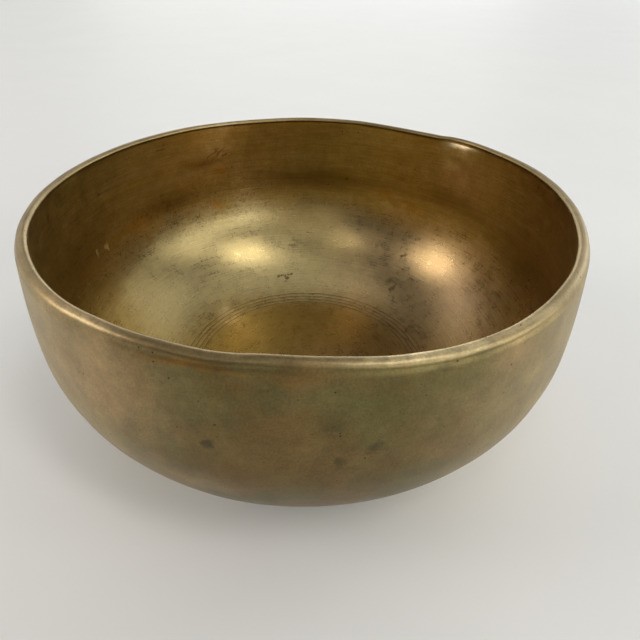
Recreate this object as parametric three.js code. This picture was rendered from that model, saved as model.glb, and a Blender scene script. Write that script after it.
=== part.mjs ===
// A small hand-beaten singing bowl of bell metal. It is one continuous piece:
// a flat base that it stands on, a rounded wall, and a slightly thickened lip.
// A few rings are turned into the floor inside, and the rim is a little uneven.
//
// Millimetres, +Z up, origin at the centre of the base, -Y to the front.

import * as THREE from 'three';

// Overall sizes, measured before the rim is beaten out of true.
const RIM_DIAMETER = 125;
const BOWL_HEIGHT = 57;

// Outside: from the base the wall rises as a quarter of an ellipse to the
// belly, its widest place, and then draws in a little to the rim.
const BASE_RADIUS = 24.5;
const BELLY_SWELL = 1.6; // how far the belly stands out past the rim
const BELLY_DROP = 21; // how far the belly lies below the rim

// Metal: an even wall, thicker at the lip, with both lip edges worn round.
const WALL_THICKNESS = 2;
const LIP_THICKNESS = 2.4;
const LIP_DEPTH = 8;
const LIP_ROUNDING = 0.5;

// Rings turned into the floor inside, counted inwards from the outermost.
const RING_COUNT = 4;
const RING_RADIUS = 36;
const RING_PITCH = 1.3;
const RING_WIDTH = 0.6;
const RING_DEPTH = 0.2;

// Where beating has bent the rim: degrees anticlockwise from +X, seen from
// above, half the width of the bend in degrees, and its movement in millimetres.
const RIM_BENDS = [
  { at: 20, spread: 44, outward: 0.5, upward: 0.6 },
  { at: 56, spread: 22, outward: -0.6, upward: -0.2 },
  { at: 88, spread: 24, outward: 0.3, upward: 0.2 },
  { at: 168, spread: 48, outward: -0.8, upward: -0.1 },
  { at: 267, spread: 16, outward: 0, upward: 0.5 },
  { at: 298, spread: 26, outward: 0.5, upward: -0.6 },
  { at: 336, spread: 24, outward: -0.2, upward: -0.3 },
];
const BEND_REACH = 35; // how far down the wall a bend can still be felt

// Fineness of the surface.
const SEGMENTS_AROUND = 72;
const BODY_STEPS = 13;
const UPPER_STEPS = 4;
const ROUNDING_STEPS = 2;

const QUARTER_TURN = Math.PI / 2;
const rimRadius = RIM_DIAMETER / 2;
const bellyRadius = rimRadius + BELLY_SWELL;
const bellyHeight = BOWL_HEIGHT - BELLY_DROP;

// A point on the ellipse below the belly. Angle 0 is at the edge of the base
// and a quarter turn is at the belly; inset moves the point into the metal.
function bodyPoint(angle, inset) {
  const radius = BASE_RADIUS + (bellyRadius - BASE_RADIUS - inset) * Math.sin(angle);
  const height = bellyHeight - (bellyHeight - inset) * Math.cos(angle);
  return new THREE.Vector2(radius, height);
}

// The inner point of the body, or of the flat floor, at a given radius.
function floorPoint(radius) {
  const innerReach = bellyRadius - BASE_RADIUS - WALL_THICKNESS;
  const angle = Math.asin(Math.max(0, radius - BASE_RADIUS) / innerReach);
  return new THREE.Vector2(radius, bodyPoint(angle, WALL_THICKNESS).y);
}

// Radius of the outside above the belly, where share runs from 0 at the belly
// to 1 at the rim.
function upperRadius(share) {
  return bellyRadius - BELLY_SWELL * share ** 2;
}

// Thickness of the metal at a height above the belly.
function upperThickness(height) {
  const share = Math.max(0, 1 - (BOWL_HEIGHT - height) / LIP_DEPTH);
  return WALL_THICKNESS + (LIP_THICKNESS - WALL_THICKNESS) * share ** 2;
}

// One rounded edge of the lip, as a quarter circle from angle 'from' on.
function lipEdge(centreRadius, from) {
  const points = [];
  for (let step = 0; step <= ROUNDING_STEPS; step += 1) {
    const angle = from + (QUARTER_TURN * step) / ROUNDING_STEPS;
    const radius = centreRadius + LIP_ROUNDING * Math.cos(angle);
    const height = BOWL_HEIGHT - LIP_ROUNDING + LIP_ROUNDING * Math.sin(angle);
    points.push(new THREE.Vector2(radius, height));
  }
  return points;
}

// Outside of the bowl, from the middle of the base up to just under the lip.
function outerProfile() {
  const points = [new THREE.Vector2(0, 0)];
  for (let step = 0; step <= BODY_STEPS; step += 1) {
    points.push(bodyPoint((QUARTER_TURN * step) / BODY_STEPS, 0));
  }
  for (let step = 1; step < UPPER_STEPS; step += 1) {
    const share = step / UPPER_STEPS;
    points.push(new THREE.Vector2(upperRadius(share), bellyHeight + BELLY_DROP * share));
  }
  return points;
}

// The lip, over its outer edge and down its inner one.
function lipProfile() {
  return [
    ...lipEdge(rimRadius - LIP_ROUNDING, 0),
    ...lipEdge(rimRadius - LIP_THICKNESS + LIP_ROUNDING, QUARTER_TURN),
  ];
}

// The turned rings, as sharp grooves, from the outermost inwards.
function ringProfile() {
  const points = [];
  for (let ring = 0; ring < RING_COUNT; ring += 1) {
    const radius = RING_RADIUS - ring * RING_PITCH;
    const bottom = floorPoint(radius);
    bottom.y -= RING_DEPTH;
    points.push(floorPoint(radius + RING_WIDTH / 2), bottom, floorPoint(radius - RING_WIDTH / 2));
  }
  return points;
}

// Inside of the bowl, from just under the lip down to the middle of the floor.
function innerProfile() {
  const points = [];
  for (let step = UPPER_STEPS - 1; step > 0; step -= 1) {
    const share = step / UPPER_STEPS;
    const height = bellyHeight + BELLY_DROP * share;
    points.push(new THREE.Vector2(upperRadius(share) - upperThickness(height), height));
  }
  for (let step = BODY_STEPS; step > 0; step -= 1) {
    const point = bodyPoint((QUARTER_TURN * step) / BODY_STEPS, WALL_THICKNESS);
    if (point.x > RING_RADIUS + RING_PITCH) points.push(point);
  }
  points.push(...ringProfile());
  const innermostEdge = points[points.length - 1].x;
  if (innermostEdge > BASE_RADIUS) points.push(floorPoint(BASE_RADIUS));
  points.push(new THREE.Vector2(0, WALL_THICKNESS));
  return points;
}

// How far beating has moved the rim outwards and upwards at an angle.
function rimMovement(degrees) {
  const movement = { outward: 0, upward: 0 };
  for (const bend of RIM_BENDS) {
    const away = THREE.MathUtils.euclideanModulo(degrees - bend.at + 180, 360) - 180;
    const share = (1 + Math.cos((Math.PI * Math.min(Math.abs(away), bend.spread)) / bend.spread)) / 2;
    movement.outward += bend.outward * share;
    movement.upward += bend.upward * share;
  }
  return movement;
}

// Bends the true bowl's rim, fading down the wall so that the base stays flat.
function beatRim(geometry) {
  const position = geometry.getAttribute('position');
  for (let index = 0; index < position.count; index += 1) {
    const x = position.getX(index);
    const y = position.getY(index);
    const z = position.getZ(index);
    const radius = Math.hypot(x, y);
    const felt = THREE.MathUtils.smoothstep(z, BOWL_HEIGHT - BEND_REACH, BOWL_HEIGHT);
    if (felt > 0) {
      const { outward, upward } = rimMovement(THREE.MathUtils.radToDeg(Math.atan2(y, x)));
      const scale = 1 + (outward * felt) / radius;
      position.setXYZ(index, x * scale, y * scale, z + upward * felt);
    }
  }
}

function makeBowl() {
  const profile = [...outerProfile(), ...lipProfile(), ...innerProfile()];
  const geometry = new THREE.LatheGeometry(profile, SEGMENTS_AROUND);
  geometry.rotateX(QUARTER_TURN);
  beatRim(geometry);
  geometry.computeVertexNormals();
  const bellMetal = new THREE.MeshStandardMaterial({ color: 0x7a6136, roughness: 0.38, metalness: 0.95 });
  const bowl = new THREE.Mesh(geometry, bellMetal);
  bowl.name = 'bowl';
  return bowl;
}

const singingBowl = new THREE.Group();
singingBowl.name = 'singing_bowl';
singingBowl.add(makeBowl());

export default singingBowl;
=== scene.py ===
"""A small hand-beaten singing bowl of bell metal, standing on a pale table.

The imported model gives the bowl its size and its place. This script beats the
same bowl out of a much finer mesh, turns the rings into its floor, gives it the
dull, handled surface of old bell metal, and lights it softly.
"""

from __future__ import annotations

import logging
import math
import random
from dataclasses import dataclass, field
from enum import Enum

import bpy
import numpy as np
from mathutils import Matrix, Vector, noise


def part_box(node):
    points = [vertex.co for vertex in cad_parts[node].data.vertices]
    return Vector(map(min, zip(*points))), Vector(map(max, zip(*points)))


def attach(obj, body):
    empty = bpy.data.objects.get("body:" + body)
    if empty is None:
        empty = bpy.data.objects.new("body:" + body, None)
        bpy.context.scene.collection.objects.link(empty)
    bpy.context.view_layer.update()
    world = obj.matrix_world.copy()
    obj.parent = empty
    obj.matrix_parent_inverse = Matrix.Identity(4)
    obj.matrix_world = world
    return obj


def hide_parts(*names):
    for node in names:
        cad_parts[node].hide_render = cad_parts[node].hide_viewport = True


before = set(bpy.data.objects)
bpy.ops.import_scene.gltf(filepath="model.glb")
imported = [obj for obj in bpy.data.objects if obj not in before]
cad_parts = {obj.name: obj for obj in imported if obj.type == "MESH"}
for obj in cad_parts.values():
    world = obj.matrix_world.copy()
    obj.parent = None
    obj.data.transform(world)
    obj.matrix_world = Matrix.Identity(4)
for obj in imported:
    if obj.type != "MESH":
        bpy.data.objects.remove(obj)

MM = 0.001
QUARTER_TURN = math.pi / 2

log = logging.getLogger("singing_bowl")


class Side(Enum):
    """The side of the wall that a mark is on."""

    OUTSIDE = "outside"
    INSIDE = "inside"
    LIP = "lip"


class Tone(Enum):
    """What has happened to the metal at a mark. Some orange, coppery and clean marks are painted
    highlights and reflections instead.
    """

    DARK = "dark tarnish"
    BROWN = "brown patina"
    GREEN = "greenish patina"
    ORANGE = "heat stain and painted reflection"
    COPPER = "coppery metal and painted highlight"
    CLEAN_AND_HIGHLIGHT = "rubbed clean and painted highlight"


@dataclass(frozen=True)
class Bend:
    """A place where beating has moved the rim, or filing has thinned it inside.

    Attributes:
        at: The angle of its middle, in degrees anticlockwise from +X, seen
            from above.
        spread: How far it reaches to either side, in degrees.
        outward: How far the rim moves outwards, in metres.
        upward: How far the rim moves upwards, in metres.
        sharp_side: The share of the spread on the anticlockwise side.
        reach: How far below the rim it is still felt, in metres.
        filed: Whether only the inner face moves.
    """

    at: float
    spread: float
    outward: float
    upward: float
    sharp_side: float = 1.0
    reach: float = 35 * MM
    filed: bool = False

    def share(self, degrees: float) -> float:
        """How much of the bend is felt at an angle.

        Args:
            degrees: The angle around the bowl.

        Returns:
            0 outside the bend and 1 in its middle.
        """
        away = (degrees - self.at + 180) % 360 - 180
        spread = self.spread * (self.sharp_side if away > 0 else 1.0)
        return (1 + math.cos(math.pi * min(abs(away), spread) / spread)) / 2


@dataclass
class BowlShape:
    """The bowl's outline and its bent rim, in metres."""

    height: float
    belly_radius: float
    base_radius: float = 24.5 * MM
    belly_swell: float = 1.6 * MM
    belly_drop: float = 21 * MM
    wall: float = 2 * MM
    lip: float = 2.4 * MM
    lip_depth: float = 8 * MM
    outer_rounding: float = 1.35 * MM
    inner_rounding: float = 0.8 * MM
    ring_count: int = 4
    ring_radius: float = 36 * MM
    ring_pitch: float = 1.3 * MM
    ring_width: float = 0.5 * MM
    ring_depth: float = 0.05 * MM
    bends: tuple[Bend, ...] = (
        Bend(20, 44, 0.5 * MM, 0.6 * MM),
        Bend(56, 22, -0.6 * MM, -0.2 * MM),
        Bend(88, 24, 0.3 * MM, 0.2 * MM),
        Bend(168, 48, -0.8 * MM, -0.1 * MM),
        Bend(267, 16, 0, 0.5 * MM),
        Bend(298, 26, 0.5 * MM, -0.6 * MM),
        Bend(336, 24, -0.2 * MM, -0.3 * MM),
        Bend(44.5, 10, 1.4 * MM, 0, 0.25, 2.8 * MM, True),
        Bend(37, 10, 1.1 * MM, 0, 1.0, 2.8 * MM, True),
        Bend(66, 26, 0.7 * MM, 0, 1.0, 8 * MM, True),
        Bend(229, 18, 0.25 * MM, 0, 0.6, 9 * MM),
        Bend(259, 9, -0.2 * MM, -0.35 * MM, 0.6, 9 * MM),
    )

    @classmethod
    def in_box(cls, low: Vector, high: Vector) -> BowlShape:
        """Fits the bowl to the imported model's box.

        Args:
            low: The box's lowest corner.
            high: The box's highest corner.

        Returns:
            The shape whose bent rim reaches the top of the box.
        """
        across = (high.x - low.x + high.y - low.y) / 2
        tallest = max(bend.upward for bend in cls.bends)
        return cls(height=high.z - low.z - tallest, belly_radius=across / 2)

    @property
    def rim_radius(self) -> float:
        """The outside radius at the rim."""
        return self.belly_radius - self.belly_swell

    @property
    def belly_height(self) -> float:
        """The height of the widest place."""
        return self.height - self.belly_drop

    def body_point(self, angle: float, inset: float) -> tuple[float, float]:
        """A point on the quarter ellipse under the belly.

        Args:
            angle: 0 at the edge of the base, a quarter turn at the belly.
            inset: How far into the metal the point lies.

        Returns:
            Its radius and height.
        """
        reach = self.belly_radius - self.base_radius - inset
        rise = self.belly_height - inset
        radius = self.base_radius + reach * math.sin(angle)
        return radius, self.belly_height - rise * math.cos(angle)

    def floor_point(self, radius: float) -> tuple[float, float]:
        """The inner surface under the belly at a radius.

        Args:
            radius: The distance from the bowl's axis.

        Returns:
            The same radius and its height.
        """
        reach = self.belly_radius - self.base_radius - self.wall
        angle = math.asin(min(1.0, max(0.0, radius - self.base_radius) / reach))
        return radius, self.body_point(angle, self.wall)[1]

    def upper_point(self, share: float, inside: bool) -> tuple[float, float]:
        """A point on the wall above the belly.

        Args:
            share: 0 at the belly and 1 at the rim.
            inside: Whether the point is on the inside.

        Returns:
            Its radius and height.
        """
        height = self.belly_height + self.belly_drop * share
        radius = self.belly_radius - self.belly_swell * share**2
        if inside:
            near_lip = max(0.0, 1 - (self.height - height) / self.lip_depth)
            radius -= self.wall + (self.lip - self.wall) * near_lip**2
        return radius, height

    def lip_edge(
        self,
        centre: float,
        rounding: float,
        start: float,
        steps: int,
    ) -> list[tuple[float, float]]:
        """One rounded edge of the lip, as a quarter circle.

        Args:
            centre: The radius of the circle's centre.
            rounding: The circle's own radius.
            start: The angle that it starts at.
            steps: How many pieces it is made of.

        Returns:
            Its points, as radius and height.
        """
        points = []
        for step in range(steps + 1):
            angle = start + QUARTER_TURN * step / steps
            height = self.height - rounding * (1 - math.sin(angle))
            points.append((centre + rounding * math.cos(angle), height))
        return points

    def ring_depth_at(self, radius: float) -> float:
        """How deep the turned rings cut at a radius.

        Args:
            radius: The distance from the bowl's axis.

        Returns:
            The depth of the cut, 0 between the rings.
        """
        for ring in range(self.ring_count):
            away = abs(radius - (self.ring_radius - ring * self.ring_pitch))
            if away < self.ring_width / 2:
                return self.ring_depth * (1 + math.cos(math.tau * away / self.ring_width)) / 2
        return 0.0

    def rim_movement(self, degrees: float, radius: float, height: float) -> tuple[float, float]:
        """How far the bends have moved the wall.

        Filing moves only the inner face and leaves the outer one in place.

        Args:
            degrees: The angle around the bowl.
            radius: The place's distance from the axis before it moves.
            height: The height of the place before it moves.

        Returns:
            The movement outwards and upwards.
        """
        outward = 0.0
        upward = 0.0
        across = min(1.0, max(0.0, (self.rim_radius - radius) / self.lip))
        for bend in self.bends:
            share = bend.share(degrees)
            if bend.filed:
                share *= across * max(0.0, 1 - (self.height - height) / bend.reach)
            else:
                share *= smooth_share(height, self.height - bend.reach, self.height)
            outward += bend.outward * share
            upward += bend.upward * share
        return outward, upward


def smooth_share(value: float, start: float, end: float) -> float:
    """A soft step.

    Args:
        value: What is measured.
        start: Where the step begins, at 0.
        end: Where it is complete, at 1.

    Returns:
        The share of the step that value has reached.
    """
    share = min(1.0, max(0.0, (value - start) / (end - start)))
    return share * share * (3 - 2 * share)


@dataclass
class WallRows:
    """The rows of points that the bowl's outline is turned from."""

    shape: BowlShape
    base_rows: int = 12
    body_rows: int = 64
    upper_rows: int = 26
    edge_steps: int = 6
    top_steps: int = 3
    ring_zone_spacing: float = 0.12 * MM
    floor_spacing: float = 1.1 * MM

    def outside(self) -> list[tuple[float, float]]:
        """The rows from the middle of the base up to just under the lip.

        Returns:
            Their radii and heights.
        """
        shape = self.shape
        rows = [(shape.base_radius * step / self.base_rows, 0.0) for step in range(self.base_rows)]
        for step in range(self.body_rows):
            rows.append(shape.body_point(QUARTER_TURN * step / self.body_rows, 0.0))
        wall = [shape.upper_point(step / self.upper_rows, False) for step in range(self.upper_rows)]
        return rows + [point for point in wall if point[1] < shape.height - shape.outer_rounding]

    def over_lip(self) -> list[tuple[float, float]]:
        """The rows over the lip, round both of its edges.

        Returns:
            Their radii and heights.
        """
        shape = self.shape
        outer = shape.rim_radius - shape.outer_rounding
        inner = shape.rim_radius - shape.lip + shape.inner_rounding
        rows = shape.lip_edge(outer, shape.outer_rounding, 0.0, self.edge_steps)
        for step in range(1, self.top_steps):
            rows.append((outer + (inner - outer) * step / self.top_steps, shape.height))
        return rows + shape.lip_edge(inner, shape.inner_rounding, QUARTER_TURN, self.edge_steps)

    def inside(self) -> list[tuple[float, float]]:
        """The rows from just under the lip down to the middle of the floor.

        Returns:
            Their radii and heights.
        """
        shape = self.shape
        wall = [shape.upper_point(step / self.upper_rows, True) for step in range(self.upper_rows, 0, -1)]
        rows = [point for point in wall if point[1] < shape.height - shape.inner_rounding]
        zone_top = shape.ring_radius + shape.ring_width
        zone_low = shape.ring_radius - shape.ring_pitch * (shape.ring_count - 1) - shape.ring_width
        for step in range(self.body_rows, 0, -1):
            point = shape.body_point(QUARTER_TURN * step / self.body_rows, shape.wall)
            if point[0] > zone_top:
                rows.append(point)
        for radius in np.arange(zone_top, zone_low, -self.ring_zone_spacing):
            rows.append((radius, shape.floor_point(radius)[1] - shape.ring_depth_at(radius)))
        for radius in np.arange(zone_low, 0, -self.floor_spacing):
            rows.append(shape.floor_point(radius))
        return rows + [(0.0, shape.wall)]

    def all_rows(self) -> np.ndarray:
        """Every row, in order from the base's middle to the floor's middle.

        Returns:
            The radius and height of each row, and its distance along the wall
            from the lip, negative outside.
        """
        before = self.outside()
        lip = self.over_lip()
        rows = np.array(before + lip + self.inside())
        lengths = np.concatenate([[0], np.cumsum(np.hypot(*np.diff(rows, axis=0).T))])
        middle = lengths[len(before) + len(lip) // 2]
        return np.column_stack([rows, lengths - middle])

    def spot(self, degrees: float, reach: float) -> Matrix:
        """The place of a mark on the unbent wall.

        Args:
            degrees: The angle around the bowl.
            reach: The distance along the wall from the lip in millimetres,
                negative outside and positive inside.

        Returns:
            The place in millimetres, with X around the bowl, Y along the
            wall and Z out of it.
        """
        rows = self.all_rows()
        ends = (reach * MM, (reach + 1) * MM)
        radii = np.interp(ends, rows[:, 2], rows[:, 0])
        heights = np.interp(ends, rows[:, 2], rows[:, 1])
        around = math.radians(degrees)
        out = Vector((math.cos(around), math.sin(around), 0))
        across = Vector((-math.sin(around), math.cos(around), 0))
        along = out * (radii[1] - radii[0]) + Vector((0, 0, heights[1] - heights[0]))
        along.normalize()
        turned = Matrix((across, along, across.cross(along))).transposed().to_4x4()
        turned.translation = (out * radii[0] + Vector((0, 0, heights[0]))) / MM
        return turned


@dataclass
class Beating:
    """The unevenness that beating leaves in the wall, in metres.

    The starts are places in the noise, so that no two kinds look alike.
    """

    swell: float = 0.16 * MM
    swell_width: float = 26 * MM
    dent: float = 0.07 * MM
    dent_width: float = 10 * MM
    ripple: float = 0.014 * MM
    ripple_width: float = 4.5 * MM
    lip_wander: float = 0.12 * MM
    lip_wander_width: float = 9 * MM
    outer_wander: float = 0.3
    flat_until: float = 1.5 * MM
    full_from: float = 12 * MM
    dent_start: tuple[float, float, float] = (7, 3, 1)
    ripple_start: tuple[float, float, float] = (2, 9, 5)
    inward_start: tuple[float, float, float] = (0, 0, 4)
    upward_start: tuple[float, float, float] = (0, 0, 8)

    def push(self, place: Vector) -> float:
        """How far the wall is pushed outwards at a place.

        Args:
            place: A point on the wall, in metres.

        Returns:
            The push, in metres.
        """
        felt = smooth_share(place.z, self.flat_until, self.full_from)
        push = self.swell * noise.noise(place / self.swell_width)
        push += self.dent * noise.noise(place / self.dent_width + Vector(self.dent_start))
        push += self.ripple * noise.noise(place / self.ripple_width + Vector(self.ripple_start))
        return felt * push

    def lip_push(self, place: Vector) -> tuple[float, float]:
        """How far the lip wanders inwards and upwards at a place.

        Args:
            place: A point on the lip, in metres.

        Returns:
            The two movements, in metres.
        """
        around = Vector((place.x, place.y, 0)) / self.lip_wander_width
        return (
            self.lip_wander * noise.noise(around + Vector(self.inward_start)),
            self.lip_wander * noise.noise(around + Vector(self.upward_start)) / 2,
        )


@dataclass
class BowlBody:
    """The bowl itself, one piece of metal."""

    shape: BowlShape
    rows: WallRows
    beating: Beating = field(default_factory=Beating)
    segments: int = 368
    name: str = "bowl_body"

    def outward(self, radius: float, height: float) -> tuple[float, float]:
        """Which way the metal moves when it is pushed outwards.

        Args:
            radius: The distance from the axis.
            height: The height above the table.

        Returns:
            The direction, as radius and height.
        """
        shape = self.shape
        if height >= shape.belly_height:
            return 1.0, 0.0
        across = max(0.0, radius - shape.base_radius) / (shape.belly_radius - shape.base_radius) ** 2
        up = (height - shape.belly_height) / shape.belly_height**2
        length = math.hypot(across, up)
        return across / length, up / length

    def placed(self, radius: float, height: float, reach: float, angle: float) -> Vector:
        """Where one point of the outline ends up.

        Args:
            radius: Its distance from the axis.
            height: Its height above the table.
            reach: Its distance along the wall from the lip, negative outside.
            angle: Its angle around the bowl.

        Returns:
            The beaten point.
        """
        shape = self.shape
        place = Vector((radius * math.cos(angle), radius * math.sin(angle), height))
        outward, upward = shape.rim_movement(math.degrees(angle), radius, height)
        radius += outward
        height += upward
        push = self.beating.push(place)
        across, up = self.outward(radius, height)
        radius += push * across
        height += push * up
        near_lip = smooth_share(place.z, shape.height - shape.lip_depth / 2, shape.height)
        if near_lip > 0:
            inward, rise = self.beating.lip_push(place)
            radius -= inward * near_lip * (1 if reach > 0 else self.beating.outer_wander)
            height += rise * near_lip
        return Vector((radius * math.cos(angle), radius * math.sin(angle), height))

    def build(self) -> bpy.types.Object:
        """Turns and beats the mesh.

        Returns:
            The bowl, linked to the scene.
        """
        rows = self.rows.all_rows()
        turned = rows[1:-1]
        around = [math.tau * step / self.segments for step in range(self.segments)]
        points = [Vector((0, 0, rows[0][1]))]
        lathe = [(0.0, 0.0, rows[0][2] / MM)]
        for radius, height, reach in turned:
            for angle in around:
                points.append(self.placed(radius, height, reach, angle))
                lathe.append((math.cos(angle), math.sin(angle), reach / MM))
        points.append(Vector((0, 0, rows[-1][1])))
        lathe.append((0.0, 0.0, rows[-1][2] / MM))
        mesh = bpy.data.meshes.new(self.name)
        mesh.from_pydata(points, [], self.faces(len(turned)))
        mesh.validate()
        mesh.shade_smooth()
        attribute = mesh.attributes.new("lathe", "FLOAT_VECTOR", "POINT")
        attribute.data.foreach_set("vector", np.array(lathe, np.float32).ravel())
        body = bpy.data.objects.new(self.name, mesh)
        bpy.context.scene.collection.objects.link(body)
        return body

    def faces(self, turned: int) -> list[tuple[int, ...]]:
        """The faces between the turned rows, closed at both middles.

        Args:
            turned: How many rows there are between the two middles.

        Returns:
            The corners of each face.
        """
        count = self.segments
        faces: list[tuple[int, ...]] = []
        last = turned * count + 1
        for step in range(count):
            following = (step + 1) % count
            faces.append((0, 1 + following, 1 + step))
            for row in range(turned - 1):
                here = 1 + row * count
                above = here + count
                faces.append((here + step, here + following, above + following, above + step))
            top = 1 + (turned - 1) * count
            faces.append((top + step, top + following, last))
        return faces


Socket = bpy.types.NodeSocket


class Nodes:
    """Short ways to lay out a material's nodes."""

    def __init__(self, material: bpy.types.Material) -> None:
        """Starts an empty tree in a material.

        Args:
            material: The material.
        """
        material.use_nodes = True
        self.tree = material.node_tree
        self.tree.nodes.clear()

    def add(
        self,
        kind: str,
        inputs: dict[str | int, object] | None = None,
        **settings: object,
    ) -> bpy.types.Node:
        """Adds a node.

        Args:
            kind: The node's type.
            inputs: A value or a socket for each named or numbered input.
            settings: The node's own settings.

        Returns:
            The node.
        """
        node = self.tree.nodes.new(kind)
        for key, value in settings.items():
            setattr(node, key, value)
        for key, value in (inputs or {}).items():
            if isinstance(value, Socket):
                self.tree.links.new(value, node.inputs[key])
            else:
                node.inputs[key].default_value = value
        return node

    def maths(self, operation: str, *values: object) -> Socket:
        """One sum."""
        return self.add("ShaderNodeMath", dict(enumerate(values)), operation=operation).outputs[0]

    def plus(self, first: object, second: object) -> Socket:
        """The sum of two values."""
        return self.maths("ADD", first, second)

    def times(self, first: object, second: object) -> Socket:
        """The product of two values."""
        return self.maths("MULTIPLY", first, second)

    def above(self, value: Socket, level: float) -> Socket:
        """How far a value lies above a level."""
        return self.maths("SUBTRACT", value, level)

    def vector(self, operation: str, *values: object) -> Socket:
        """One vector sum."""
        inputs = dict(enumerate(values))
        return self.add("ShaderNodeVectorMath", inputs, operation=operation).outputs["Vector"]

    def length(self, value: Socket) -> Socket:
        """The length of a vector."""
        return self.add("ShaderNodeVectorMath", {0: value}, operation="LENGTH").outputs["Value"]

    def step(self, value: object, start: float, end: float) -> Socket:
        """A soft step of a value.

        Args:
            value: What is measured.
            start: Where the step begins, at 0.
            end: Where it is complete, at 1.

        Returns:
            The share of the step that the value has reached.
        """
        inputs = {"Value": value, "From Min": start, "From Max": end}
        node = self.add("ShaderNodeMapRange", inputs, interpolation_type="SMOOTHSTEP")
        return node.outputs["Result"]

    def spread(self, value: object, low: float, high: float) -> Socket:
        """A 0 to 1 value spread between two others."""
        inputs = {"Value": value, "To Min": low, "To Max": high}
        return self.add("ShaderNodeMapRange", inputs).outputs["Result"]

    def vary(self, value: object, low: float, high: float) -> Socket:
        """Cloudy noise, which stays near a half, spread between two values."""
        inputs = {"Value": value, "From Min": 0.3, "From Max": 0.7, "To Min": low, "To Max": high}
        return self.add("ShaderNodeMapRange", inputs).outputs["Result"]

    def noise(self, place: object, scale: float, detail: float = 2.0, rough: float = 0.5) -> Socket:
        """Cloudy noise around a half."""
        inputs = {"Vector": place, "Scale": scale, "Detail": detail, "Roughness": rough}
        return self.add("ShaderNodeTexNoise", inputs).outputs["Fac"]

    def mix(self, share: object, first: object, second: object, blend: str = "MIX") -> Socket:
        """Mixes two colours, whose sockets in the node have numbers but no names of their own."""
        inputs = {0: share, 6: first, 7: second}
        return self.add("ShaderNodeMix", inputs, data_type="RGBA", blend_type=blend).outputs[2]

    def grey(self, value: Socket) -> Socket:
        """A value as a grey colour."""
        return self.add("ShaderNodeCombineColor", {0: value, 1: value, 2: value}).outputs[0]

    def bump(self, height: object, depth: float) -> Socket:
        """A bump of a height map."""
        inputs = {"Height": height, "Distance": depth, "Strength": 1.0}
        return self.add("ShaderNodeBump", inputs).outputs["Normal"]


Colour = tuple[float, float, float, float]


@dataclass(frozen=True)
class Mark:
    """A stain, a rubbed patch, a scratch or a painted highlight, with its sizes in millimetres.

    Attributes:
        tone: What has happened to the metal, or the painted light that it stands for.
        degrees: The angle of its middle around the bowl.
        reach: The distance of its middle from the lip, negative outside.
        around: Half its width around the bowl.
        along: Half its length along the wall.
        share: How strongly it is felt in its middle.
        turn: How far it is turned on the wall, in degrees.
        soft: How soft its edge is, up to 1.
    """

    tone: Tone
    degrees: float
    reach: float
    around: float
    along: float
    share: float = 1.0
    turn: float = 0.0
    soft: float = 1.0


OUTSIDE_MARKS = (
    # Coppery metal and painted reflection: with the wide mark at 236 degrees, this lightens the outer
    # left wall as the reflected table would.
    Mark(Tone.COPPER, 240, -4, 7, 4, 0.6),
    Mark(Tone.DARK, 243, -5, 1.6, 2.8, 0.4, -30),
    Mark(Tone.DARK, 246, -10, 1.4, 3.0, 0.5, -30),
    Mark(Tone.DARK, 241, -8, 1.2, 2.0, 0.3),
    Mark(Tone.BROWN, 260, -5, 5.5, 4.0, 0.8),
    Mark(Tone.DARK, 256, -18, 1.2, 1.3, 1.0, 0, 0.8),
    Mark(Tone.DARK, 274, -11.5, 1.6, 1.3, 0.7, 30),
    Mark(Tone.DARK, 280, -17, 1.8, 1.5, 0.95, 30),
    Mark(Tone.DARK, 275, -20.5, 1.3, 1.4, 0.9),
    Mark(Tone.DARK, 276.5, -22, 1.6, 1.0, 0.4),
    Mark(Tone.GREEN, 280, -9, 10, 8, 0.9),
    Mark(Tone.GREEN, 291, -6, 9, 4, 0.6),
    Mark(Tone.GREEN, 284, -26, 9, 5, 0.5),
    Mark(Tone.DARK, 288, -3.2, 3.0, 1.0, 0.8),
    Mark(Tone.DARK, 295, -3.0, 8.0, 0.9, 0.6),
    Mark(Tone.ORANGE, 254, -2.6, 11, 1.0, 0.9),
    Mark(Tone.ORANGE, 268, -2.8, 7, 1.4, 0.4),
    Mark(Tone.BROWN, 262, -24, 14, 6, 0.6),
    Mark(Tone.BROWN, 265, -12, 9, 5, 0.5),
    Mark(Tone.COPPER, 301, -6, 6, 4, 0.6),
    # Coppery metal and painted reflection: lightens the outer left wall as the reflected table would.
    Mark(Tone.COPPER, 236, -12, 17, 12, 0.75),
    Mark(Tone.COPPER, 254, -30, 9, 4, 0.4),
    Mark(Tone.BROWN, 104, -16, 16, 9, 0.7),
    Mark(Tone.BROWN, 70, -10, 12, 5, 0.5),
    Mark(Tone.BROWN, 35, -28, 14, 7, 0.55),
    Mark(Tone.BROWN, 176, -20, 13, 9, 0.5),
    Mark(Tone.BROWN, 205, -30, 12, 6, 0.45),
    Mark(Tone.COPPER, 128, -10, 12, 5, 0.6),
    Mark(Tone.GREEN, 60, -26, 12, 7, 0.7),
    Mark(Tone.DARK, 84, -9, 2.2, 1.4, 0.6, 40),
    Mark(Tone.DARK, 20, -20, 1.8, 1.5, 0.6),
    Mark(Tone.GREEN, 150, -8, 10, 6, 0.6),
    Mark(Tone.DARK, 168, -24, 2.0, 1.6, 0.5),
    Mark(Tone.COPPER, 190, -12, 12, 6, 0.5),
)

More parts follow.
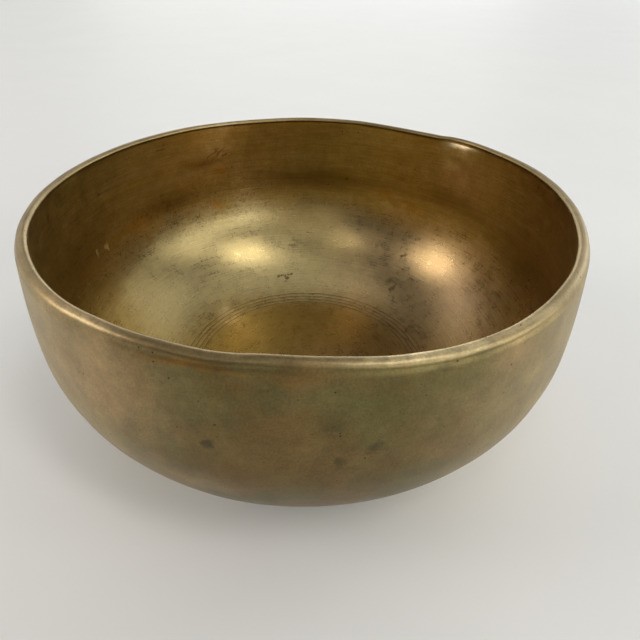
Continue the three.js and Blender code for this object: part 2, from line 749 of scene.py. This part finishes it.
LIP_MARKS = (
    # Painted highlight: these two marks brighten the front right of the lip, where it reflects a light.
    Mark(Tone.CLEAN_AND_HIGHLIGHT, 287, -0.2, 15, 2.0, 0.9),
    Mark(Tone.CLEAN_AND_HIGHLIGHT, 305, -0.6, 12, 1.2, 0.4),
    # Worn edge and painted highlight: these two marks paint the coppery glint of the side window on the
    # rounded outer edge at the front left.
    Mark(Tone.COPPER, 234, -1.2, 14, 1.7, 1.0),
    Mark(Tone.CLEAN_AND_HIGHLIGHT, 236, -1.3, 10, 1.4, 0.75),
    Mark(Tone.BROWN, 252, -0.6, 9, 1.6, 0.35),
    Mark(Tone.BROWN, 268, -0.6, 7, 1.6, 0.35),
    Mark(Tone.CLEAN_AND_HIGHLIGHT, 118, 0, 12, 2.0, 0.4),
    Mark(Tone.DARK, 285, 0.8, 0.5, 0.4, 0.6),
    Mark(Tone.DARK, 349, 0, 0.4, 0.6, 0.6),
)


def pit_cluster(degrees: float, reach: float, count: int, seed: int) -> tuple[Mark, ...]:
    """Small deep pits, crowded in one place on the inside.

    Args:
        degrees: The angle of their middle.
        reach: How far down from the lip their middle lies.
        count: How many there are.
        seed: Where the scatter starts.

    Returns:
        The pits.
    """
    scatter = random.Random(seed)
    marks = []
    for _ in range(count):
        at = scatter.gauss(degrees, 2.2)
        down = scatter.gauss(reach, 1.6)
        size = scatter.uniform(0.45, 0.8)
        marks.append(Mark(Tone.DARK, at, down, size, size * 0.9, 1.4, 0, 0.6))
    return tuple(marks)


INSIDE_MARKS = (
    Mark(Tone.CLEAN_AND_HIGHLIGHT, 119, 7, 8, 5, 0.5),
    Mark(Tone.CLEAN_AND_HIGHLIGHT, 118, 2, 9, 2.5, 0.7),
    Mark(Tone.DARK, 121, 10.5, 2.8, 0.4, 0.9, 35, 0.4),
    Mark(Tone.DARK, 118.5, 10, 2.6, 0.35, 0.9, 40, 0.4),
    Mark(Tone.DARK, 116.5, 11, 2.0, 0.4, 0.8, 20, 0.4),
    # Painted reflection: these two orange marks and the clean one at 111 degrees paint a gold column of
    # reflected light down the back left of the inner wall.
    Mark(Tone.ORANGE, 119, 16.5, 3.0, 1.8, 0.9),
    Mark(Tone.ORANGE, 121, 28.8, 3.0, 1.8, 0.7),
    Mark(Tone.ORANGE, 64, 24.6, 3.4, 1.8, 0.9),
    Mark(Tone.ORANGE, 54, 27.5, 5.0, 2.6, 0.7),
    Mark(Tone.ORANGE, 150, 26, 7, 3, 0.6),
    # Painted reflection: part of the gold column down the back left of the inner wall.
    Mark(Tone.CLEAN_AND_HIGHLIGHT, 111, 26, 6.5, 12, 0.3),
    # Polished wear and painted highlight: these four marks brighten the patch under the filed rim at the
    # back right, adding to its reflected light.
    Mark(Tone.COPPER, 42, 3, 6.5, 2.5, 0.9),
    Mark(Tone.CLEAN_AND_HIGHLIGHT, 41, 3.2, 8.0, 4.6, 0.7, 0, 0.9),
    Mark(Tone.CLEAN_AND_HIGHLIGHT, 43, 8.5, 4.0, 3.0, 0.35, 0, 0.9),
    Mark(Tone.COPPER, 38, 12, 14, 9, 0.7),
    Mark(Tone.COPPER, 20, 46, 16, 12, 0.6),
    Mark(Tone.DARK, 51, 44, 0.7, 1.8, 0.9, -15, 0.6),
    Mark(Tone.DARK, 52, 54, 1.5, 2.0, 0.7, 10),
    Mark(Tone.DARK, 48.5, 57, 0.3, 2.6, 0.8, 12, 0.4),
    Mark(Tone.DARK, 44, 60, 0.3, 2.4, 0.7, 40, 0.4),
    Mark(Tone.DARK, 77, 21.3, 0.9, 0.7, 1.0, 0, 0.5),
    Mark(Tone.BROWN, 85, 22, 24, 5, 0.8),
    Mark(Tone.BROWN, 90, 35, 18, 8, 0.45),
    Mark(Tone.BROWN, 78, 50, 15, 11, 0.25),
    Mark(Tone.CLEAN_AND_HIGHLIGHT, 90, 86, 36, 36, 0.22),
    # Painted highlight: the gold glow on the floor at the back left, where a light is reflected.
    Mark(Tone.CLEAN_AND_HIGHLIGHT, 139, 69.5, 5.5, 7, 1.0),
    Mark(Tone.BROWN, 124, 13, 9, 1.6, 0.8),
    Mark(Tone.BROWN, 138, 24, 16, 4, 0.8),
    Mark(Tone.BROWN, 175, 30, 26, 10, 0.7),
    Mark(Tone.BROWN, 5, 26, 22, 9, 0.7),
    Mark(Tone.BROWN, 40, 20, 14, 4, 0.6),
    Mark(Tone.CLEAN_AND_HIGHLIGHT, 167, 26.5, 1.2, 0.6, 0.9, 60, 0.5),
    Mark(Tone.CLEAN_AND_HIGHLIGHT, 163, 27, 0.6, 1.6, 0.8, 0, 0.5),
    Mark(Tone.BROWN, 210, 26, 26, 8, 0.6),
    Mark(Tone.BROWN, 270, 30, 30, 7, 0.6),
    Mark(Tone.ORANGE, 318, 25, 6, 3, 0.7),
    Mark(Tone.DARK, 236, 40, 1.2, 1.8, 0.7, 20),
    *pit_cluster(100, 59, 12, 4),
)

MARKS = {Side.OUTSIDE: OUTSIDE_MARKS, Side.LIP: LIP_MARKS, Side.INSIDE: INSIDE_MARKS}


TONE_COLOURS: dict[Tone, tuple[Colour, Colour]] = {
    Tone.DARK: ((0.075, 0.062, 0.03, 1), (0.11, 0.075, 0.02, 1)),
    Tone.BROWN: ((0.16, 0.10, 0.036, 1), (0.20, 0.12, 0.025, 1)),
    Tone.GREEN: ((0.135, 0.12, 0.045, 1), (0.135, 0.12, 0.045, 1)),
    Tone.ORANGE: ((0.24, 0.12, 0.03, 1), (0.46, 0.24, 0.045, 1)),
    # The outside coppery colour is made bright enough to paint the table's reflection on the outer left
    # wall.
    Tone.COPPER: ((0.46, 0.305, 0.145, 1), (0.52, 0.34, 0.205, 1)),
    Tone.CLEAN_AND_HIGHLIGHT: ((0.74, 0.60, 0.34, 1), (0.74, 0.60, 0.34, 1)),
}
# The metal's colour at a mark: outside or on the lip, then inside. The orange, coppery and clean colours
# also paint highlights and reflections.
"""The metal's colour at a mark: outside or on the lip, then inside."""


@dataclass(frozen=True)
class Layers:
    """The measures and noises that the parts of the metal share.

    Attributes:
        place: The place on the bowl in millimetres.
        ragged: The same place, pulled about to give the marks ragged edges.
        reach: The distance along the wall from the lip, negative outside.
        right: -1 at the left of the bowl and 1 at its right.
        inside: 1 on the inside.
        lip: 1 on the lip.
        clouds: Slow changes over a few centimetres.
        mottle: Blotches of a few millimetres.
        fine: Specks of about a millimetre.
        grain: The finest grain.
        lines: Fine lines around the bowl, above and below 0.
        uneven: How strongly the marks are felt from place to place.
        aged: 1 in the dark band under the rim.
        belt: 1 in the belt that the dark band ends in.
    """

    place: Socket
    ragged: Socket
    reach: Socket
    right: Socket
    inside: Socket
    lip: Socket
    clouds: Socket
    mottle: Socket
    fine: Socket
    grain: Socket
    lines: Socket
    uneven: Socket
    aged: Socket
    belt: Socket


@dataclass(frozen=True)
class BellMetal:
    """Old bell metal: a duller outside, a cleaner inside and a rubbed lip, with painted reflections and
    highlights among its colours.

    Lengths are in millimetres, and a scale is in cells to the millimetre. The
    two numbers of a pair are where something begins and where it is complete.
    """

    rows: WallRows
    name: str = "bell_metal"
    clean: Colour = (0.43, 0.34, 0.155, 1)
    # Painted reflection: the pinker colour of the inside's right half, standing in for the warm side
    # window that it reflects.
    coppery: Colour = (0.53, 0.37, 0.175, 1)
    patina: Colour = (0.40, 0.272, 0.068, 1)
    brown: Colour = (0.19, 0.128, 0.05, 1)
    olive: Colour = (0.16, 0.13, 0.052, 1)
    # Painted reflection: the paler colour laid over both sides of the outer wall, standing in for the
    # pale table seen there at a grazing angle.
    painted_side_reflection: Colour = (0.43, 0.325, 0.152, 1)
    rubbed: Colour = (0.31, 0.23, 0.112, 1)
    groove: Colour = (0.13, 0.092, 0.03, 1)
    pitted: Colour = (0.06, 0.04, 0.012, 1)
    lip_edge: tuple[float, float] = (1.0, 1.8)
    inside_from: tuple[float, float] = (0.6, 1.6)
    aged_until: tuple[float, float] = (30.5, 26.5)
    aged_wander: float = 5
    belt_top: tuple[float, float] = (18, 24)
    belt_foot: tuple[float, float] = (40, 32)
    floor_centre: tuple[float, float] = (70, 74)
    ragged_scale: float = 0.22
    ragged_pull: float = 5.0
    softest: float = 4 / 3
    pit_scale: float = 0.95
    pit_width: float = 0.2
    pit_choice: tuple[float, float] = (0.86, 1.0)
    inside_roughness: tuple[float, float] = (0.25, 0.35)
    outside_duller: float = 0.08
    aged_duller: float = 0.05
    line_duller: float = 0.2
    mottle_height: float = 0.035
    line_height: float = 0.011
    grain_height: float = 0.03
    pit_depth: float = 0.04

    def layers(self, nodes: Nodes) -> Layers:
        """Lays out the measures and noises.

        Args:
            nodes: The material's nodes.

        Returns:
            The measures and noises.
        """
        place = nodes.vector("SCALE", nodes.add("ShaderNodeTexCoord").outputs["Object"])
        place.node.inputs["Scale"].default_value = 1 / MM
        lathe = nodes.add("ShaderNodeAttribute", attribute_name="lathe").outputs["Vector"]
        parts = nodes.add("ShaderNodeSeparateXYZ", {"Vector": lathe})
        reach = parts.outputs["Z"]
        pull = nodes.add(
            "ShaderNodeTexNoise",
            {"Vector": place, "Scale": self.ragged_scale, "Detail": 4.0, "Roughness": 0.65},
        )
        offset = nodes.vector("SUBTRACT", pull.outputs["Color"], (0.5, 0.5, 0.5))
        ragged = nodes.vector("MULTIPLY_ADD", offset, (self.ragged_pull,) * 3, place)
        along_lines = nodes.vector("MULTIPLY", lathe, (5.0, 5.0, 2.6))
        along_smears = nodes.vector("MULTIPLY", lathe, (1.6, 1.6, 0.45))
        inside = nodes.step(reach, *self.inside_from)
        lip = nodes.maths("SUBTRACT", 1.0, nodes.step(nodes.maths("ABSOLUTE", reach), *self.lip_edge))
        mottle = nodes.noise(place, 0.3, 6, 0.68)
        smears = nodes.noise(along_smears, 1.0, 4, 0.6)
        lines = nodes.above(nodes.noise(along_lines, 1.0, 4, 0.7), 0.5)
        wander = nodes.vary(nodes.noise(place, 0.11, 4, 0.6), -self.aged_wander, self.aged_wander)
        depth = nodes.plus(reach, wander)
        aged = nodes.times(nodes.step(depth, *self.aged_until), nodes.vary(smears, 0.45, 1.0))
        belt = nodes.times(nodes.step(depth, *self.belt_top), nodes.step(depth, *self.belt_foot))
        return Layers(
            place=place,
            ragged=ragged,
            reach=reach,
            right=parts.outputs["X"],
            inside=inside,
            lip=lip,
            clouds=nodes.noise(place, 0.07, 4, 0.6),
            mottle=mottle,
            fine=nodes.noise(place, 1.1, 4, 0.7),
            grain=nodes.noise(place, 2.6, 3, 0.6),
            lines=nodes.times(lines, nodes.spread(inside, 0.25, 1.0)),
            uneven=nodes.vary(mottle, 0.5, 1.2),
            aged=aged,
            belt=belt,
        )

    def mask(self, nodes: Nodes, place: Socket, mark: Mark) -> Socket:
        """Where one mark is felt.

        The distance is taken with a spherical gradient. With a plain vector
        length, the renderer runs out of room for a material with many marks.

        Args:
            nodes: The material's nodes.
            place: The place on the bowl in millimetres.
            mark: The mark.

        Returns:
            Its share of the colour.
        """
        turn = Matrix.Rotation(math.radians(mark.turn), 4, "Z")
        spot = self.rows.spot(mark.degrees, mark.reach) @ turn
        deep = max(mark.around, 10)
        local = nodes.add(
            "ShaderNodeMapping",
            {
                "Vector": place,
                "Location": spot.translation,
                "Rotation": spot.to_euler(),
                "Scale": (mark.around * self.softest, mark.along * self.softest, deep * self.softest),
            },
            vector_type="TEXTURE",
        )
        near = nodes.add(
            "ShaderNodeTexGradient",
            {"Vector": local.outputs["Vector"]},
            gradient_type="SPHERICAL",
        )
        inputs = {
            "Value": near.outputs["Fac"],
            "From Min": 1 - (1 + mark.soft * (self.softest - 1)) / self.softest,
            "From Max": 1 - (1 - mark.soft) / self.softest,
            "To Max": mark.share,
        }
        node = nodes.add("ShaderNodeMapRange", inputs, interpolation_type="SMOOTHSTEP")
        return node.outputs["Result"]

    def marked(
        self,
        nodes: Nodes,
        colour: Socket | Colour,
        side: Side,
        place: Socket,
        uneven: Socket,
    ) -> Socket:
        """Lays the marks of one side over its colour.

        Args:
            nodes: The material's nodes.
            colour: The colour without the marks.
            side: The side of the wall.
            place: The place on the bowl in millimetres.
            uneven: How strongly the marks are felt from place to place.

        Returns:
            The colour with the marks.
        """
        for tone, (outside_colour, inside_colour) in TONE_COLOURS.items():
            share = None
            for mark in MARKS[side]:
                if mark.tone is tone:
                    found = self.mask(nodes, place, mark)
                    share = found if share is None else nodes.maths("MAXIMUM", share, found)
            if share is not None:
                stain = inside_colour if side is Side.INSIDE else outside_colour
                colour = nodes.mix(nodes.times(share, uneven), colour, stain)
        return colour

    def grooves(self, nodes: Nodes, layers: Layers) -> Socket:
        """Where the dirt lies in the turned rings.

        Args:
            nodes: The material's nodes.
            layers: The measures and noises.

        Returns:
            Its share of the colour.
        """
        shape = self.rows.shape
        radius = nodes.length(nodes.vector("MULTIPLY", layers.place, (1.0, 1.0, 0.0)))
        dirt = None
        for ring in range(shape.ring_count):
            middle = (shape.ring_radius - ring * shape.ring_pitch) / MM
            away = nodes.maths("ABSOLUTE", nodes.above(radius, middle))
            found = nodes.step(away, shape.ring_width / 2 / MM, 0.0)
            dirt = found if dirt is None else nodes.maths("MAXIMUM", dirt, found)
        kept = nodes.step(nodes.noise(layers.place, 0.12), 0.35, 0.6)
        return nodes.times(nodes.times(dirt, layers.inside), nodes.spread(kept, 0.5, 1.0))

    def pits(self, nodes: Nodes, place: Socket) -> Socket:
        """Rare, small dark pits all over the bowl.

        Args:
            nodes: The material's nodes.
            place: The place on the bowl in millimetres.

        Returns:
            Their share of the colour.
        """
        cells = nodes.add("ShaderNodeTexVoronoi", {"Vector": place, "Scale": self.pit_scale})
        choice = nodes.add("ShaderNodeSeparateColor", {0: cells.outputs["Color"]}).outputs[0]
        width = nodes.times(nodes.step(choice, *self.pit_choice), self.pit_width)
        edge = nodes.maths("SUBTRACT", width, cells.outputs["Distance"])
        return nodes.step(edge, -0.02, 0.08)

    def inner_colour(self, nodes: Nodes, layers: Layers) -> Socket:
        """The colour inside: clean metal under patina, marks, dirt and specks, with a painted warm
        reflection on its right half.

        Args:
            nodes: The material's nodes.
            layers: The measures and noises.

        Returns:
            The colour.
        """
        centre = nodes.times(
            nodes.step(layers.reach, *self.floor_centre),
            nodes.step(layers.mottle, 0.42, 0.6),
        )
        # Painted reflection: the inside turns pinker and more coppery towards its right half.
        colour = nodes.mix(nodes.step(layers.right, 0.0, 0.6), self.clean, self.coppery)
        colour = nodes.mix(nodes.times(layers.aged, 0.8), colour, self.patina)
        colour = nodes.mix(nodes.times(centre, 0.3), colour, self.patina)
        colour = self.marked(nodes, colour, Side.INSIDE, layers.ragged, layers.uneven)
        colour = nodes.mix(self.grooves(nodes, layers), colour, self.groove)
        speckled = nodes.times(layers.belt, nodes.step(layers.right, 0.1, -0.5))
        specks = nodes.times(nodes.step(layers.fine, 0.54, 0.66), nodes.spread(speckled, 0.04, 0.65))
        return nodes.mix(specks, colour, self.groove)

    def outer_colour(self, nodes: Nodes, layers: Layers) -> Socket:
        """The colour outside: brown and olive, with a painted reflection that lightens both sides.

        Args:
            nodes: The material's nodes.
            layers: The measures and noises.

        Returns:
            The colour.
        """
        hue = nodes.plus(layers.clouds, nodes.spread(layers.right, 0.0, 0.12))
        colour = nodes.mix(nodes.step(hue, 0.44, 0.6), self.brown, self.olive)
        # Painted reflection: both sides of the outer wall are lightened towards this paler colour.
        reflecting_sides = nodes.step(nodes.maths("ABSOLUTE", layers.right), 0.2, 0.75)
        colour = nodes.mix(nodes.times(reflecting_sides, 0.85), colour, self.painted_side_reflection)
        colour = self.marked(nodes, colour, Side.OUTSIDE, layers.ragged, layers.uneven)
        return nodes.mix(nodes.times(nodes.step(layers.fine, 0.6, 0.75), 0.3), colour, self.groove)

    def shade(self, nodes: Nodes, layers: Layers) -> Socket:
        """How light the colour is from place to place.

        Args:
            nodes: The material's nodes.
            layers: The measures and noises.

        Returns:
            What the colour is multiplied by.
        """
        smoke = nodes.above(nodes.vary(nodes.noise(layers.place, 0.13, 4, 0.65), 0.8, 1.18), 1.0)
        smoky = nodes.plus(nodes.times(smoke, nodes.spread(layers.inside, 1.0, 0.3)), 1.0)
        shade = nodes.times(nodes.vary(layers.grain, 0.86, 1.14), nodes.vary(layers.mottle, 0.88, 1.12))
        shade = nodes.times(shade, nodes.plus(nodes.times(layers.lines, 0.8), 1.0))
        return nodes.times(shade, smoky)

    def roughness(self, nodes: Nodes, layers: Layers) -> Socket:
        """How dull the metal is: duller outside and in the dark band.

        Args:
            nodes: The material's nodes.
            layers: The measures and noises.

        Returns:
            The roughness.
        """
        rough = nodes.vary(layers.mottle, *self.inside_roughness)
        rough = nodes.plus(rough, nodes.times(layers.lines, self.line_duller))
        outside = nodes.maths("SUBTRACT", 1.0, layers.inside)
        rough = nodes.plus(rough, nodes.times(outside, self.outside_duller))
        return nodes.plus(rough, nodes.times(layers.aged, self.aged_duller))

    def relief(self, nodes: Nodes, layers: Layers, pits: Socket) -> Socket:
        """The fine height map: mottle, turning lines, grain and pits.

        Args:
            nodes: The material's nodes.
            layers: The measures and noises.
            pits: 1 in a pit.

        Returns:
            The height in millimetres.
        """
        height = nodes.times(layers.mottle, self.mottle_height)
        height = nodes.maths("MULTIPLY_ADD", layers.lines, self.line_height, height)
        height = nodes.maths("MULTIPLY_ADD", layers.grain, self.grain_height, height)
        return nodes.maths("MULTIPLY_ADD", pits, -self.pit_depth, height)

    def make(self) -> bpy.types.Material:
        """Lays out the material.

        Returns:
            The finished material.
        """
        material = bpy.data.materials.new(self.name)
        nodes = Nodes(material)
        layers = self.layers(nodes)
        inner = self.inner_colour(nodes, layers)
        outer = self.outer_colour(nodes, layers)
        colour = nodes.mix(layers.inside, outer, inner)
        # The lip's rubbed colour with its marks, some of them painted highlights.
        lip_wear_and_highlights = self.marked(nodes, self.rubbed, Side.LIP, layers.place, layers.uneven)
        colour = nodes.mix(nodes.times(layers.lip, nodes.vary(layers.mottle, 0.7, 1.0)), colour, lip_wear_and_highlights)
        pits = self.pits(nodes, layers.place)
        colour = nodes.mix(pits, colour, self.pitted)
        colour = nodes.mix(1.0, colour, nodes.grey(self.shade(nodes, layers)), "MULTIPLY")
        surface = nodes.add(
            "ShaderNodeBsdfPrincipled",
            {
                "Base Color": colour,
                "Metallic": 1.0,
                "Roughness": self.roughness(nodes, layers),
                "Normal": nodes.bump(self.relief(nodes, layers, pits), 1 * MM),
            },
        )
        nodes.add("ShaderNodeOutputMaterial", {"Surface": surface.outputs["BSDF"]})
        return material


@dataclass(frozen=True)
class TableTop:
    """The pale, smooth surface that the bowl stands on."""

    name: str = "pale_table"
    colour: Colour = (0.89, 0.895, 0.885, 1)
    half_width: float = 20.0
    cloud_scale: float = 14
    lightness: tuple[float, float] = (0.97, 1.03)
    roughness: float = 0.6

    def make(self) -> bpy.types.Object:
        """Lays the table top under the bowl.

        Returns:
            The table top, left apart from the bowl.
        """
        side = self.half_width
        mesh = bpy.data.meshes.new(self.name)
        outline = [(-side, -side, 0), (side, -side, 0), (side, side, 0), (-side, side, 0)]
        mesh.from_pydata(outline, [], [(0, 1, 2, 3)])
        top = bpy.data.objects.new(self.name, mesh)
        bpy.context.scene.collection.objects.link(top)
        material = bpy.data.materials.new(self.name)
        nodes = Nodes(material)
        place = nodes.add("ShaderNodeTexCoord").outputs["Object"]
        shade = nodes.spread(nodes.noise(place, self.cloud_scale, 4, 0.6), *self.lightness)
        colour = nodes.mix(1.0, self.colour, nodes.grey(shade), "MULTIPLY")
        surface = nodes.add(
            "ShaderNodeBsdfPrincipled",
            {"Base Color": colour, "Roughness": self.roughness},
        )
        nodes.add("ShaderNodeOutputMaterial", {"Surface": surface.outputs["BSDF"]})
        mesh.materials.append(material)
        return top


@dataclass(frozen=True)
class SoftLight:
    """A soft light that looks at the bowl.

    Attributes:
        name: What it is called.
        azimuth: Where it hangs, in degrees anticlockwise from +X.
        elevation: How high it hangs, in degrees above the table.
        size: How wide it is, in metres.
        power: How strong it is, in watts.
        colour: Its colour.
        tall: How many times as high as wide it is.
        distance: How far away it hangs, in metres.
    """

    name: str
    azimuth: float
    elevation: float
    size: float
    power: float
    colour: tuple[float, float, float] = (1.0, 0.97, 0.92)
    tall: float = 1.0
    distance: float = 3.2

    def hang(self, target: Vector) -> bpy.types.Object:
        """Hangs the light.

        Args:
            target: What it looks at.

        Returns:
            The light.
        """
        lamp = bpy.data.lights.new(self.name, "AREA")
        lamp.shape = "RECTANGLE"
        lamp.size = self.size
        lamp.size_y = self.size * self.tall
        lamp.energy = self.power
        lamp.color = self.colour
        around = math.radians(self.azimuth)
        up = math.radians(self.elevation)
        flat = Vector((math.cos(around), math.sin(around), 0)) * math.cos(up)
        away = flat + Vector((0, 0, math.sin(up)))
        light = bpy.data.objects.new(self.name, lamp)
        light.location = target + away * self.distance
        light.rotation_euler = away.to_track_quat("Z", "Y").to_euler()
        bpy.context.scene.collection.objects.link(light)
        return light


@dataclass
class Studio:
    """The plain light that the bowl is shown in.

    The room is dim above and has a pale wall all around, whose foot and top
    are heights on a sphere of radius 1.
    """

    room: Colour = (0.92, 0.96, 1.0, 1)
    room_strength: float = 0.1
    wall_strength: float = 0.62
    wall_foot: float = 0.05
    wall_top: float = 0.26
    lights: tuple[SoftLight, ...] = (
        SoftLight("key_light", -37, 56, 0.5, 15, (1.0, 0.96, 0.9), 2.8),
        SoftLight("side_window", 182, 26, 1.0, 24, (1.0, 0.93, 0.88), 1.9),
        SoftLight("front_left_lamp", -123, 50, 0.28, 3.6, (1.0, 0.95, 0.85), 3.0),
        SoftLight("right_lamp", -14, 38, 0.4, 2.5, (1.0, 0.96, 0.9), 1.6),
        SoftLight("back_right_fill", 40, 32, 2.5, 18, (0.98, 0.99, 1.0)),
        SoftLight("back_right_low", 30, 12, 1.8, 16, (0.88, 0.95, 1.0)),
        SoftLight("back_glow", 90, 12, 2.4, 35, (0.99, 1.0, 0.98)),
        SoftLight("back_left_fill", 140, 28, 2.2, 13, (1.0, 0.96, 0.92)),
        SoftLight("ceiling", 0, 85, 2.8, 14, (1.0, 0.99, 0.95)),
        SoftLight("right_low", -15, 16, 1.8, 22, (1.0, 1.0, 0.98)),
        SoftLight("right_front_low", -50, 14, 1.8, 24, (1.0, 0.99, 0.96)),
        SoftLight("front_fill", -90, 35, 2.2, 9.5, (1.0, 0.93, 0.84)),
    )

    def dress(self, target: Vector) -> None:
        """Sets the room's colour and hangs the lights.

        Args:
            target: The middle of the bowl.
        """
        world = bpy.data.worlds.new("room")
        world.use_nodes = True
        background = world.node_tree.nodes["Background"]
        background.inputs["Color"].default_value = self.room
        direction = world.node_tree.nodes.new("ShaderNodeTexCoord")
        parts = world.node_tree.nodes.new("ShaderNodeSeparateXYZ")
        fade = world.node_tree.nodes.new("ShaderNodeMapRange")
        fade.interpolation_type = "SMOOTHSTEP"
        fade.inputs["From Min"].default_value = self.wall_foot
        fade.inputs["From Max"].default_value = self.wall_top
        fade.inputs["To Min"].default_value = self.wall_strength
        fade.inputs["To Max"].default_value = self.room_strength
        world.node_tree.links.new(direction.outputs["Generated"], parts.inputs["Vector"])
        world.node_tree.links.new(parts.outputs["Z"], fade.inputs["Value"])
        world.node_tree.links.new(fade.outputs["Result"], background.inputs["Strength"])
        scene = bpy.context.scene
        scene.world = world
        scene.view_settings.view_transform = "Standard"
        for light in self.lights:
            light.hang(target)


@dataclass(frozen=True)
class Viewpoint:
    """Where the camera stands and how it is turned.

    Attributes:
        back: How far in front of the bowl it stands, in rim radii.
        above: How far above the rim it stands, in rim radii.
        turn: How far it turns to the right, in radians.
        tilt: How far it looks down, in radians.
        lean: How far it leans to one side, in radians.
        lens: The focal length, in millimetres.
        film: The width of the film, in millimetres.
    """

    back: float = 1.8176
    above: float = 0.741
    turn: float = 0.0338
    tilt: float = 0.6415
    lean: float = -0.0307
    lens: float = 28.125
    film: float = 36.0

    def place(self, rim_radius: float, rim_height: float) -> bpy.types.Object:
        """Places the camera.

        Args:
            rim_radius: The radius of the rim, in metres.
            rim_height: The height of the rim, in metres.

        Returns:
            The camera.
        """
        ahead = Vector(
            (
                math.sin(self.turn) * math.cos(self.tilt),
                math.cos(self.turn) * math.cos(self.tilt),
                -math.sin(self.tilt),
            )
        )
        right = Vector((math.cos(self.turn), -math.sin(self.turn), 0))
        down = ahead.cross(right)
        across = math.cos(self.lean) * right + math.sin(self.lean) * down
        below = math.cos(self.lean) * down - math.sin(self.lean) * right
        lens = bpy.data.cameras.new("camera")
        lens.lens = self.lens
        lens.sensor_width = self.film
        lens.clip_start = 5 * MM
        camera = bpy.data.objects.new("camera", lens)
        turned = Matrix((across, -below, -ahead)).transposed().to_4x4()
        turned.translation = Vector((0, -self.back * rim_radius, rim_height + self.above * rim_radius))
        camera.matrix_world = turned
        bpy.context.scene.collection.objects.link(camera)
        bpy.context.scene.camera = camera
        return camera


def main() -> None:
    """Builds the bowl and its setting, and logs when the setting is in place."""
    logging.basicConfig(level=logging.INFO, format="%(name)s: %(message)s")
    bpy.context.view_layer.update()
    low, high = (Vector(corner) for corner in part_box("bowl"))
    shape = BowlShape.in_box(low, high)

    rows = WallRows(shape)
    body = BowlBody(shape, rows).build()
    body.data.materials.append(BellMetal(rows).make())
    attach(body, "root")
    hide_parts("bowl")

    TableTop().make()
    Studio().dress(Vector((0, 0, shape.height / 2)))
    Viewpoint().place(shape.rim_radius, shape.height)
    log.info("table, lights and camera are in place")


if __name__ == "__main__":
    main()
